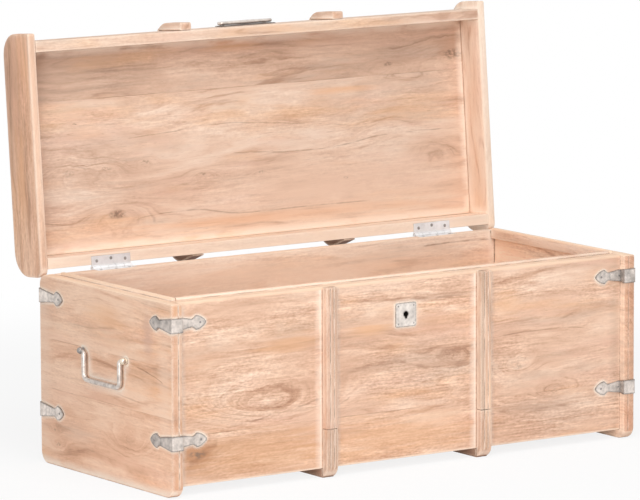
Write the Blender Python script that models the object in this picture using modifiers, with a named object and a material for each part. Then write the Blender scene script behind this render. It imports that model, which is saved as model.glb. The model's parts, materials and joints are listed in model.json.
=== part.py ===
"""Storage trunk of pale solid wood: ribbed box, hinged ribbed lid, iron straps, bail handles and a key plate.

Metres, +Z up, front towards -Y. The lid stands open on its hinge axis.
The origin is under the middle of the open trunk's bounding box.
"""
import bpy
import bmesh
from math import cos, pi, radians, sin, tan
from mathutils import Vector

# main sizes
LENGTH = 0.9025
DEPTH = 0.392
BODY_HEIGHT = 0.306
LID_HEIGHT = 0.080
OPEN_ANGLE = radians(95.0)

# boards
END_THICK = 0.020
END_BEAD = 0.0075
LID_END_THICK = 0.0135
WALL_THICK = 0.018
LID_WALL_THICK = 0.0172
TOP_THICK = 0.014
BOTTOM_THICK = 0.012
PROUD = 0.0132
PANEL_LIFT = 0.0153
RIB_WIDTH = 0.0215
FOOT_HEIGHT = 0.079
BODY_FOOT_ROUND = 0.020
BACK_ROUND = 0.016
RIM_ROUND = 0.0035
LID_FRONT_ROUND = 0.036
LID_BACK_ROUND = 0.040
LID_EDGE_ROUND = 0.004
LID_RIB_TOE = 0.0024
LID_RIB_RUN = 0.036
SMALL_ROUND = 0.003
ARRIS = 0.0018
END_ARRIS = 0.0024
PANEL_ARRIS = 0.0008
GROOVE = 0.0011

# raised lip inside the rim
LIP_THICK = 0.008
LIP_HEIGHT = 0.0180
LIP_RISE = 0.0045

# clearances
GAP = 0.0003
SEAM = 0.0006
RUN = 0.0003

# hinges
HINGE_LENGTH = 0.074
HINGE_BACK = 0.0065
HINGE_INSET = 0.0755
LEAF_IN = 0.0135
LEAF_THICK = 0.0018
BARREL_R = 0.0045
PIN_R = 0.0020
PIN_HEAD = 0.0014
KNUCKLES = 5

# corner straps
STRAP_THICK = 0.0014
STRAP_FRONT_SIDE = 0.061
STRAP_BACK_SIDE = 0.071
STRAP_PANEL = 0.051
STRAP_HALF = 0.0115
STRAP_STEP_HALF = 0.0098
STRAP_NECK_HALF = 0.0062
STRAP_BEND = 0.0029
STRAP_TIP = 0.0255
STRAP_TOP_DROP = 0.034
STRAP_FOOT_RISE = 0.087

# key plate
KEY_Z_DROP = 0.0590
PLATE_SIZE = 0.040
PLATE_THICK = 0.0014
KEY_R = 0.0047
KEY_SLOT = 0.0044
KEY_DROP = 0.0062
KEY_DEPTH = 0.012

# bail handles on the ends
BAIL_HALF = 0.0530
BAIL_DROP = 0.0445
BAIL_R = 0.0040
BAIL_CORNER = 0.010
BAIL_Z = 0.200
TIP_R = 0.0023
TIP_BEND = 0.0045
POST_BALL = 0.0055
POST_REACH = 0.0058
POST_BASE = 0.0048

# small bail on the lid's front
PULL_HALF = 0.0495
PULL_DROP = 0.0100
PULL_RISE = 0.060
PULL_R = 0.0029
PULL_MID_R = 0.0033
PULL_BEND = 0.0034
PULL_TIP_R = 0.0015
PULL_BALL = 0.0028
PULL_REACH = 0.0039
PULL_BASE = 0.0042
PULL_POST_HALF = 0.0415
PULL_PLATE_THICK = 0.0012
PULL_PLATE_HALF = 0.0525
PULL_PLATE_LOW = 0.021
PULL_PLATE_HIGH = 0.006

# derived places
HALF = LENGTH / 2
X_IN = HALF - END_THICK
Y_OUT = DEPTH / 2
Y_FACE = Y_OUT - PROUD
Y_IN = Y_FACE - WALL_THICK
LID_X_IN = HALF - LID_END_THICK
LID_Y_IN = Y_FACE - LID_WALL_THICK
RIB_X = LENGTH / 6
LID_Z = BODY_HEIGHT + SEAM
LID_TOP = LID_Z + LID_HEIGHT
LID_SKIN = LID_TOP - PROUD
LIP_TOP = BODY_HEIGHT + LIP_RISE
LIP_X = X_IN - GAP - LIP_THICK
PULL_Y = -Y_FACE - GAP - PULL_PLATE_THICK
AXIS = Vector((0, Y_FACE + HINGE_BACK, BODY_HEIGHT + SEAM / 2))
HINGE_X = X_IN - HINGE_INSET - HINGE_LENGTH / 2
KEY_Z = BODY_HEIGHT - KEY_Z_DROP
STRAP_OFF = GAP + STRAP_THICK / 2
TURN = cos(OPEN_ANGLE), sin(OPEN_ANGLE)
FRONT_REACH = -Y_OUT - GAP - STRAP_THICK
ROUND_Y = LID_FRONT_ROUND - Y_OUT - AXIS.y
ROUND_Z = LID_TOP - LID_FRONT_ROUND - AXIS.z
BACK_REACH = AXIS.y + ROUND_Y * TURN[0] + ROUND_Z * TURN[1] + LID_FRONT_ROUND
SHIFT_Y = -(FRONT_REACH + BACK_REACH) / 2

for old in list(bpy.data.objects):
    bpy.data.objects.remove(old, do_unlink=True)

PARTS = bpy.data.collections.new("storage_trunk")
CUTTERS = bpy.data.collections.new("cutters")
bpy.context.scene.collection.children.link(PARTS)
bpy.context.scene.collection.children.link(CUTTERS)


def surface(name, colour, roughness, metallic):
    mat = bpy.data.materials.new(name)
    mat.use_nodes = True
    shader = mat.node_tree.nodes["Principled BSDF"]
    shader.inputs["Base Color"].default_value = (*colour, 1.0)
    shader.inputs["Roughness"].default_value = roughness
    shader.inputs["Metallic"].default_value = metallic
    return mat


WOOD = ("pale_wood", (0.74, 0.51, 0.36), 0.62, 0.0)
IRON = ("grey_iron", (0.60, 0.58, 0.56), 0.42, 0.9)


def pivot(name, place, parent=None):
    obj = bpy.data.objects.new(name, None)
    obj.empty_display_size = 0.03
    obj.location = place
    obj.parent = parent
    PARTS.objects.link(obj)
    return obj


TRUNK = pivot("trunk_frame", (0, SHIFT_Y, 0))
LID = pivot("lid_pivot", AXIS, TRUNK)
LID.rotation_euler = (-OPEN_ANGLE, 0, 0)


def part(name, mesh, look, parent=TRUNK, place=(0, 0, 0), smooth=False):
    """A named sub-part with its own material; the parts of the lid are given in the closed trunk's place."""
    obj = bpy.data.objects.new(name, mesh)
    mesh.materials.append(surface(name + "_" + look[0], *look[1:]))
    obj.parent = parent
    obj.location = Vector(place) - (AXIS if parent is LID else Vector())
    if smooth:
        mesh.polygons.foreach_set("use_smooth", [True] * len(mesh.polygons))
    PARTS.objects.link(obj)
    return obj


def mesh_from(name, work):
    bmesh.ops.recalc_face_normals(work, faces=work.faces)
    mesh = bpy.data.meshes.new(name)
    work.to_mesh(mesh)
    work.free()
    return mesh


def prism(name, outline, axis, low, high):
    """A flat outline pushed along an axis: (y, z) along X, (x, z) along Y, (x, y) along Z."""
    work = bmesh.new()
    rings = []
    for level in (low, high):
        ring = []
        for a, b in outline:
            spot = [a, b]
            spot.insert("XYZ".index(axis), level)
            ring.append(work.verts.new(spot))
        rings.append(ring)
    count = len(outline)
    work.faces.new(rings[0])
    work.faces.new(rings[1])
    for i in range(count):
        j = (i + 1) % count
        work.faces.new((rings[0][i], rings[0][j], rings[1][j], rings[1][i]))
    return mesh_from(name, work)


def block(name, low, high):
    outline = [(low[0], low[1]), (high[0], low[1]), (high[0], high[1]), (low[0], high[1])]
    return prism(name, outline, "Z", low[2], high[2])


def fillet(before, corner, after, radius, steps):
    """Points of the arc that rounds one corner of a line."""
    corner = Vector(corner)
    u = (Vector(before) - corner).normalized()
    v = (Vector(after) - corner).normalized()
    half = u.angle(v) / 2
    centre = corner + (u + v).normalized() * radius / sin(half)
    first = (corner + u * radius / tan(half) - centre).normalized()
    last = (corner + v * radius / tan(half) - centre).normalized()
    side = (last - first * first.dot(last)).normalized()
    sweep = first.angle(last)
    turns = [sweep * i / steps for i in range(steps + 1)]
    return [centre + (first * cos(t) + side * sin(t)) * radius for t in turns]


def rounded(corners, steps=10):
    """A closed outline whose corners (a, b, radius) are rounded."""
    outline = []
    for i, (a, b, radius) in enumerate(corners):
        outline += fillet(corners[i - 1][:2], (a, b), corners[(i + 1) % len(corners)][:2], radius, steps)
    return outline


def clip(outline, spot, normal):
    """The part of a closed outline on the side of a line that its normal points to."""
    spot, normal = Vector(spot), Vector(normal).normalized()
    depths = [(Vector(here) - spot).dot(normal) for here in outline]
    depths = [0.0 if abs(depth) < 1e-6 else depth for depth in depths]
    kept = []
    for i, here in enumerate(outline):
        if depths[i - 1] * depths[i] < 0:
            share = depths[i - 1] / (depths[i - 1] - depths[i])
            kept.append(Vector(outline[i - 1]).lerp(Vector(here), share))
        if depths[i] >= 0:
            kept.append(Vector(here))
    return kept


def window(outline, y_low, y_high, z_low, z_high):
    outline = clip(clip(outline, (y_low, 0), (1, 0)), (y_high, 0), (-1, 0))
    return clip(clip(outline, (0, z_low), (0, 1)), (0, z_high), (0, -1))


def soften(obj, width, segments=2):
    mod = obj.modifiers.new("Bevel", "BEVEL")
    mod.width = width
    mod.segments = segments
    mod.limit_method = "ANGLE"
    mod.angle_limit = radians(40)
    return obj


def boolean(obj, mesh, operation="DIFFERENCE", place=(0, 0, 0)):
    """Cut, join or trim with a cutter mesh given in the object's own space."""
    cutter = bpy.data.objects.new(mesh.name, mesh)
    cutter.parent = obj
    cutter.location = place
    cutter.hide_render = True
    cutter.display_type = "WIRE"
    CUTTERS.objects.link(cutter)
    mod = obj.modifiers.new(mesh.name, "BOOLEAN")
    mod.operation = operation
    mod.solver = "EXACT"
    mod.object = cutter
    return obj


def disc(radius, sides, centre=(0, 0)):
    turns = [2 * pi * i / sides for i in range(sides)]
    return [(centre[0] + radius * cos(t), centre[1] + radius * sin(t)) for t in turns]


def groove(obj, spots, axis, low, high):
    """V grooves along an axis at the given places across it."""
    for spot in spots:
        mesh = prism(obj.name + "_groove", disc(GROOVE, 4, spot), axis, low, high)
        boolean(obj, mesh)


def turned(name, profile, steps):
    """A solid of revolution about local Z from (radius, height) points that start and end on the axis."""
    work = bmesh.new()
    rings = []
    for radius, height in profile:
        spots = disc(radius, steps) if radius > 0 else [(0, 0)]
        rings.append([work.verts.new((x, y, height)) for x, y in spots])
    for lower, upper in zip(rings, rings[1:]):
        for i in range(steps):
            j = (i + 1) % steps
            near = [lower[k % len(lower)] for k in (i, j)]
            far = [upper[k % len(upper)] for k in (j, i)]
            work.faces.new(list(dict.fromkeys(near + far)))
    return mesh_from(name, work)


def rod(name, path, radii, sides=14):
    """A round bar along a path, with its own radius at every point and closed ends."""
    curve = bpy.data.curves.new(name, "CURVE")
    curve.dimensions = "3D"
    curve.bevel_depth = 1.0
    curve.bevel_resolution = sides // 2 - 2
    curve.use_fill_caps = True
    spline = curve.splines.new("POLY")
    spline.points.add(len(path) - 1)
    for point, spot, radius in zip(spline.points, path, radii):
        point.co = (*spot, 1)
        point.radius = radius
    helper = bpy.data.objects.new(name + "_curve", curve)
    mesh = bpy.data.meshes.new_from_object(helper)
    bpy.data.objects.remove(helper, do_unlink=True)
    work = bmesh.new()
    work.from_mesh(mesh)
    bpy.data.meshes.remove(mesh)
    bmesh.ops.remove_doubles(work, verts=work.verts, dist=0.00001)
    return mesh_from(name, work)


def side_outline(height, front_low, front_high, back_high, back_low, base=0.0):
    """Outline of an end board, (y, z), with a radius for each corner."""
    return rounded([
        (-Y_OUT, base, front_low),
        (Y_OUT, base, back_low),
        (Y_OUT, base + height, back_high),
        (-Y_OUT, base + height, front_high),
    ])


BODY_SIDE = side_outline(BODY_HEIGHT, BODY_FOOT_ROUND, SMALL_ROUND, BACK_ROUND, BODY_FOOT_ROUND)
LID_SIDE = side_outline(LID_HEIGHT, SMALL_ROUND, LID_FRONT_ROUND, LID_BACK_ROUND, BACK_ROUND, LID_Z)


def end_boards():
    for side, sign in (("left", -1), ("right", 1)):
        low, high = sorted((sign * X_IN, sign * HALF))
        bead_x = sign * (X_IN + END_BEAD)
        board = part(side + "_end_board", prism("end", BODY_SIDE, "X", low, high), WOOD)
        soften(board, END_ARRIS)
        groove(board, [(bead_x, -Y_OUT), (bead_x, Y_OUT)], "Z", -0.01, BODY_HEIGHT + 0.01)
        low, high = sorted((sign * LID_X_IN, sign * HALF))
        cap = part("lid_" + side + "_end", prism("lid_end", LID_SIDE, "X", low, high), WOOD, LID)
        soften(cap, ARRIS)


def mortise(obj, x, z_low, z_high):
    half = HINGE_LENGTH / 2 + GAP
    low = (x - half, Y_FACE - LEAF_IN - GAP, z_low)
    boolean(obj, block(obj.name + "_mortise", low, (x + half, Y_FACE + 0.01, z_high)))


def body_panels():
    span = X_IN - GAP
    outline = rounded([
        (-Y_FACE, PANEL_LIFT, PANEL_ARRIS),
        (-Y_IN, PANEL_LIFT, PANEL_ARRIS),
        (-Y_IN, BODY_HEIGHT, PANEL_ARRIS),
        (-Y_FACE, BODY_HEIGHT, RIM_ROUND),
    ], 4)
    front = part("front_panel", prism("front", outline, "X", -span, span), WOOD)
    boolean(front, prism("key_way", keyhole(RUN * 2), "Y", -Y_OUT, -Y_FACE + KEY_DEPTH))
    back = part("back_panel", block("back", (-span, Y_IN, PANEL_LIFT), (span, Y_FACE, BODY_HEIGHT)), WOOD)
    soften(back, PANEL_ARRIS)
    for x in (-HINGE_X, HINGE_X):
        mortise(back, x, BODY_HEIGHT - LEAF_THICK - GAP, BODY_HEIGHT + 0.01)
    deep = Y_IN - GAP
    floor = block("bottom", (-span, -deep, PANEL_LIFT), (span, deep, PANEL_LIFT + BOTTOM_THICK))
    soften(part("bottom_panel", floor, WOOD), PANEL_ARRIS)


def lips():
    """Strips inside the rim that stand up into the closed lid."""
    low = LIP_TOP - LIP_HEIGHT
    deep = Y_IN - GAP
    for side, sign in (("left", -1), ("right", 1)):
        x_low, x_high = sorted((sign * LIP_X, sign * (LIP_X + LIP_THICK)))
        soften(part(side + "_lip", block("lip", (x_low, -deep, low), (x_high, deep, LIP_TOP)), WOOD), ARRIS)
    span = LIP_X - GAP
    front = block("lip", (-span, -deep, low), (span, LIP_THICK - deep, LIP_TOP))
    soften(part("front_lip", front, WOOD), ARRIS)


def rib_piece(name, outline, x, parent, faces, axis, low, high):
    mesh = prism(name, outline, "X", x - RIB_WIDTH / 2, x + RIB_WIDTH / 2)
    piece = soften(part(name, mesh, WOOD, parent), ARRIS)
    for face in faces:
        groove(piece, [(x + RIB_WIDTH * k, face) for k in (-0.17, 0.17)], axis, low, high)


def body_ribs():
    for side, x in (("left", -RIB_X), ("right", RIB_X)):
        for face, sign in (("front", -1), ("back", 1)):
            y_low, y_high = sorted((sign * (Y_FACE + GAP), sign * (Y_OUT + GAP)))
            slat = window(BODY_SIDE, y_low, y_high, FOOT_HEIGHT + GAP, BODY_HEIGHT)
            foot = window(BODY_SIDE, y_low, y_high, 0, FOOT_HEIGHT)
            edge = [sign * Y_OUT]
            low, high = -0.01, BODY_HEIGHT + 0.01
            rib_piece(side + "_" + face + "_rib", slat, x, TRUNK, edge, "Z", low, high)
            rib_piece(side + "_" + face + "_foot", foot, x, TRUNK, edge, "Z", low, high)
        half = RIB_WIDTH / 2
        runner = block("runner", (x - half, -Y_FACE, 0), (x + half, Y_FACE, PANEL_LIFT - GAP))
        soften(part(side + "_runner", runner, WOOD), PANEL_ARRIS)


def lid_boards():
    span = LID_X_IN - GAP
    for face, sign in (("front", -1), ("back", 1)):
        outline = rounded([
            (sign * Y_FACE, LID_Z, PANEL_ARRIS),
            (sign * LID_Y_IN, LID_Z, PANEL_ARRIS),
            (sign * LID_Y_IN, LID_SKIN, PANEL_ARRIS),
            (sign * Y_FACE, LID_SKIN, LID_EDGE_ROUND),
        ], 4)
        wall = part("lid_" + face + "_wall", prism("lid_wall", outline, "X", -span, span), WOOD, LID)
        if face == "back":
            for x in (-HINGE_X, HINGE_X):
                mortise(wall, x, LID_Z - 0.01, LID_Z + LEAF_THICK + GAP)
    deep = LID_Y_IN - GAP
    skin = block("lid_top", (-span, -deep, LID_SKIN - TOP_THICK), (span, deep, LID_SKIN))
    soften(part("lid_top_panel", skin, WOOD, LID), PANEL_ARRIS)
    for side, x in (("left", -RIB_X), ("right", RIB_X)):
        over = window(LID_SIDE, -Y_OUT, Y_OUT, LID_SKIN + GAP, LID_TOP)
        rib_piece("lid_" + side + "_top_rib", over, x, LID, [LID_TOP], "Y", -Y_OUT, Y_OUT)
        for face, sign in (("front", -1), ("back", 1)):
            y_low, y_high = sorted((sign * (Y_FACE + GAP), sign * (Y_OUT + GAP)))
            post = window(LID_SIDE, y_low, y_high, LID_Z, LID_SKIN)
            if face == "back":
                post = clip(post, (Y_FACE + LID_RIB_TOE, LID_Z), (-LID_RIB_RUN, PROUD - LID_RIB_TOE))
            edges = [sign * Y_OUT]
            rib_piece("lid_" + side + "_" + face + "_rib", post, x, LID, edges, "Z", LID_Z - 0.01, LID_TOP)


def strap_stations(side):
    """A strap's line round a corner, (along front, along end, half height), for an end leg of this length."""
    tip = [(0.0, 0.10), (0.06, 0.27), (0.18, 0.51), (0.34, 0.75), (0.50, 0.91), (0.71, 1.0), (0.82, 0.80)]
    off = STRAP_OFF
    step = END_THICK + off
    inner = PROUD - off
    corners = [(-off, side), (-off, -off), (step, -off), (step, inner), (END_THICK + STRAP_PANEL, inner)]
    stations = [(-off, side - STRAP_TIP * t, STRAP_HALF * h) for t, h in tip]
    stations.append((-off, side - STRAP_TIP, STRAP_NECK_HALF))
    halves = (STRAP_HALF, STRAP_HALF, STRAP_STEP_HALF)
    for i, half in enumerate(halves):
        for spot in fillet(corners[i], corners[i + 1], corners[i + 2], STRAP_BEND, 5):
            stations.append((spot.x, spot.y, half))
    end = corners[-1]
    stations.append((end[0] - STRAP_TIP, end[1], STRAP_NECK_HALF))
    stations += [(end[0] - STRAP_TIP * t, end[1], STRAP_HALF * h) for t, h in reversed(tip)]
    return stations


def straps():
    levels = (("upper", BODY_HEIGHT - STRAP_TOP_DROP), ("lower", STRAP_FOOT_RISE))
    for level, z in levels:
        for face, sy, leg in (("front", -1, STRAP_FRONT_SIDE), ("back", 1, STRAP_BACK_SIDE)):
            stations = strap_stations(leg)
            for side, sx in (("left", -1), ("right", 1)):
                work = bmesh.new()
                rows = []
                for x, y, half in stations:
                    spot = (sx * (HALF - x), sy * (Y_OUT - y))
                    rows.append([work.verts.new((*spot, z + half)), work.verts.new((*spot, z - half))])
                for here, there in zip(rows, rows[1:]):
                    work.faces.new((here[0], here[1], there[1], there[0]))
                name = side + "_" + face + "_" + level + "_strap"
                strap = part(name, mesh_from(name, work), IRON)
                mod = strap.modifiers.new("Solidify", "SOLIDIFY")
                mod.thickness = STRAP_THICK
                mod.offset = 0
                mod.use_even_offset = True


def keyhole(grow):
    """Keyhole outline, (x, z): a round hole with a rounded slot hanging from it."""
    r = KEY_R + grow
    half = KEY_SLOT / 2 + grow
    low = KEY_Z - KEY_DROP - grow
    sweep = 2 * pi - 2 * (half / r)
    turns = [-pi / 2 + half / r + sweep * i / 20 for i in range(21)]
    ring = [(r * cos(t), KEY_Z + 0.001 + r * sin(t)) for t in turns]
    return ring + [(-half, low + half / 2), (-half / 2, low), (half / 2, low), (half, low + half / 2)]


def key_plate():
    half = PLATE_SIZE / 2
    low, high = KEY_Z - half * 0.97, KEY_Z + half * 0.97
    corners = [(-half, low), (half, low), (half, high), (-half, high)]
    outline = rounded([(*spot, SMALL_ROUND) for spot in corners], 4)
    back = -Y_FACE - GAP
    plate = part("key_plate", prism("plate", outline, "Y", back - PLATE_THICK, back), IRON)
    soften(plate, PLATE_THICK * 0.3, 1)
    boolean(plate, prism("keyhole", keyhole(0), "Y", -Y_OUT, -Y_IN))


def post_profile(base, neck, ball, reach):
    """Foot disc, neck and ball of a handle post, as (radius, height)."""
    profile = [(0, GAP), (base, GAP), (base, base * 0.16), (base * 0.8, base * 0.26), (neck, base * 0.34)]
    start = pi - 1.05
    turns = [start * (1 - i / 8) for i in range(9)]
    profile += [(ball * sin(t), reach + ball * cos(t)) for t in turns[:-1]]
    profile.append((0, reach + ball))
    return profile


def bail_path(half, drop, bend, corner, tip_end, steps):
    """Bail centre line in (across, along hang): tip, leg, bar, leg, tip."""
    knees = [(-tip_end, 0), (-half, 0), (-half, -drop), (half, -drop), (half, 0), (tip_end, 0)]
    path = [Vector(knees[0])]
    for i, radius in ((1, bend), (2, corner), (3, corner), (4, bend)):
        path += fillet(knees[i - 1], knees[i], knees[i + 1], radius, steps)
    path.append(Vector(knees[-1]))
    return path


def end_handles():
    post_y = BAIL_HALF + TIP_BEND + RUN * 2 + POST_BALL
    tip_end = post_y + POST_BALL * 0.9
    steps = 7
    path = bail_path(BAIL_HALF, BAIL_DROP, TIP_BEND, BAIL_CORNER, tip_end, steps)
    radii = [BAIL_R] * len(path)
    for i in range(steps + 2):
        grow = max(0.0, 1 - i / (steps + 1))
        radii[i] = radii[-1 - i] = BAIL_R + (TIP_R - BAIL_R) * min(1.0, grow * 1.3)
    radii[1] = radii[-2] = TIP_R
    for side, sign in (("left", -1), ("right", 1)):
        x = sign * HALF
        axis_x = sign * (HALF + POST_REACH)
        bail = rod(side + "_bail", [(0, y, z) for y, z in path], radii)
        part(side + "_bail", bail, IRON, TRUNK, (axis_x, 0, BAIL_Z), smooth=True)
        for face, y in (("front", -post_y), ("back", post_y)):
            profile = post_profile(POST_BASE, POST_BALL * 0.62, POST_BALL, POST_REACH)
            name = side + "_" + face + "_post"
            post = part(name, turned(name, profile, 24), IRON, TRUNK, (x, y, BAIL_Z), smooth=True)
            post.rotation_euler = (0, sign * pi / 2, 0)
            hole = prism(name + "_eye", disc(TIP_R + RUN, 20, (0, POST_REACH)), "Y", -0.02, 0.02)
            boolean(post, hole)


def lid_pull():
    steps = 6
    tip_end = PULL_POST_HALF - PULL_BALL * 0.9
    path = bail_path(PULL_HALF, PULL_DROP, PULL_BEND, PULL_BEND, tip_end, steps)
    middle = len(path) // 2
    bar = [Vector((PULL_HALF * k / 8 - PULL_BEND * k / 8, -PULL_DROP)) for k in range(-7, 8)]
    path = path[:middle] + bar + path[middle:]
    leg = steps + 2
    radii = []
    for i, spot in enumerate(path):
        from_end = min(i, len(path) - 1 - i)
        if from_end < leg:
            radii.append(PULL_TIP_R + (PULL_R - PULL_TIP_R) * max(0, from_end - 1) / (leg - 2))
        else:
            radii.append(PULL_R + (PULL_MID_R - PULL_R) * cos(pi / 2 * spot.x / PULL_HALF) ** 2)
    z = LID_Z + PULL_RISE
    corners = [(sx * PULL_PLATE_HALF, z + rise) for sx, rise in (
        (-1, -PULL_PLATE_LOW), (1, -PULL_PLATE_LOW), (1, PULL_PLATE_HIGH), (-1, PULL_PLATE_HIGH))]
    outline = rounded([(*spot, SMALL_ROUND) for spot in corners], 4)
    mesh = prism("pull_plate", outline, "Y", PULL_Y, PULL_Y + PULL_PLATE_THICK)
    soften(part("lid_pull_plate", mesh, IRON, LID), PULL_PLATE_THICK * 0.3, 1)
    mesh = rod("lid_pull", [(a, 0, b) for a, b in path], radii, 12)
    part("lid_pull_bail", mesh, IRON, LID, (0, PULL_Y - PULL_REACH, z), smooth=True)
    for side, x in (("left", -PULL_POST_HALF), ("right", PULL_POST_HALF)):
        name = "lid_pull_" + side + "_post"
        profile = post_profile(PULL_BASE, PULL_BALL * 0.6, PULL_BALL, PULL_REACH)
        post = part(name, turned(name, profile, 20), IRON, LID, (x, PULL_Y, z), smooth=True)
        post.rotation_euler = (pi / 2, 0, 0)
        boolean(post, prism(name + "_eye", disc(PULL_TIP_R + RUN, 16, (0, PULL_REACH)), "X", -0.01, 0.01))


def knuckle_span(index):
    size = HINGE_LENGTH / KNUCKLES
    return (index * size - HINGE_LENGTH / 2 + GAP / 2, (index + 1) * size - HINGE_LENGTH / 2 - GAP / 2)


def leaf(name, x, parent, own, z_low, z_high):
    """One hinge leaf: a plate with tabs to its own knuckles, bored for the pin."""
    near = -BARREL_R - GAP
    far = -HINGE_BACK - LEAF_IN
    half = HINGE_LENGTH / 2
    outline = [(half, far), (-half, far), (-half, near)]
    for index in own:
        low, high = knuckle_span(index)
        outline += [(low, near), (low, -BARREL_R * 0.7), (high, -BARREL_R * 0.7), (high, near)]
    outline.append((half, near))
    tidy = [spot for i, spot in enumerate(outline) if (Vector(spot) - Vector(outline[i - 1])).length > GAP]
    place = AXIS + Vector((x, 0, 0))
    obj = part(name, prism(name, tidy, "Z", z_low, z_high), IRON, parent, place)
    for index in own:
        boolean(obj, prism(name + "_knuckle", disc(BARREL_R, 24), "X", *knuckle_span(index)), "UNION")
    boolean(obj, prism(name + "_bore", disc(PIN_R + RUN / 2, 20), "X", -HINGE_LENGTH, HINGE_LENGTH))


def hinges():
    low = SEAM / 2
    for side, x in (("left", -HINGE_X), ("right", HINGE_X)):
        leaf(side + "_hinge_body_leaf", x, TRUNK, range(0, KNUCKLES, 2), -low - LEAF_THICK, -low)
        leaf(side + "_hinge_lid_leaf", x, LID, range(1, KNUCKLES, 2), low, low + LEAF_THICK)
        end = HINGE_LENGTH / 2 + GAP
        top = end + PIN_HEAD
        rim = PIN_R * 1.5
        half = [(0, top), (PIN_R * 0.9, top), (rim, (end + top) / 2), (rim, end), (PIN_R, end)]
        profile = half + [(r, -h) for r, h in reversed(half)]
        name = side + "_hinge_pin"
        pin = part(name, turned(name, profile, 20), IRON, TRUNK, AXIS + Vector((x, 0, 0)), smooth=True)
        pin.rotation_euler = (0, pi / 2, 0)


end_boards()
body_panels()
lips()
body_ribs()
lid_boards()
straps()
key_plate()
end_handles()
lid_pull()
hinges()
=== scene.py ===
"""Looks of the storage trunk: limed wood, grey ironwork and fasteners, with floor, light and camera."""
import json
from math import cos, pi, radians, sin

import bmesh
import bpy
from mathutils import Matrix, Vector

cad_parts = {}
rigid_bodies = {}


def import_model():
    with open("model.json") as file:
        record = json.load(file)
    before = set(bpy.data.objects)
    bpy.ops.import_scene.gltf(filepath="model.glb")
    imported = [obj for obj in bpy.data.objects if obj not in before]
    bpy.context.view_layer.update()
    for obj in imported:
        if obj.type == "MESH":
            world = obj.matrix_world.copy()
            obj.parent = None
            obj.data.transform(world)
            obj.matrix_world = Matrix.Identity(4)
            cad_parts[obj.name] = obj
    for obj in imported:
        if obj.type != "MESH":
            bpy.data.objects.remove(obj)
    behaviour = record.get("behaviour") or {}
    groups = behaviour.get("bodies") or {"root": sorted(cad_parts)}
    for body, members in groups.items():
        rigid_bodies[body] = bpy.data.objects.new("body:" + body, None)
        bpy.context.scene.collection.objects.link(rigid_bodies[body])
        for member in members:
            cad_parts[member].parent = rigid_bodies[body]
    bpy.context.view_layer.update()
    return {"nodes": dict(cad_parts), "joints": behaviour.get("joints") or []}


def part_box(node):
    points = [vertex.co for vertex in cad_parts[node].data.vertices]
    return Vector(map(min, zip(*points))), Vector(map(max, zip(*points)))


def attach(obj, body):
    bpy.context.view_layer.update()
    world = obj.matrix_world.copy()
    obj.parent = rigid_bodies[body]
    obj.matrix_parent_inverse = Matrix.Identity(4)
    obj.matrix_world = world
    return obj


for old in list(bpy.data.objects):
    bpy.data.objects.remove(old, do_unlink=True)

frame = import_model()
NODES = frame["nodes"]
LID_HINGE = next(joint for joint in frame["joints"] if joint["name"] == "lid_hinge")

# the lid's boards are painted in the closed trunk's place, so the grain knows nothing of the open angle
LID_AXIS = Vector(LID_HINGE["pos_m"])
LID_CLOSING = Matrix.Rotation(radians(LID_HINGE["range_deg"][1]), 3, "X")


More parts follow.
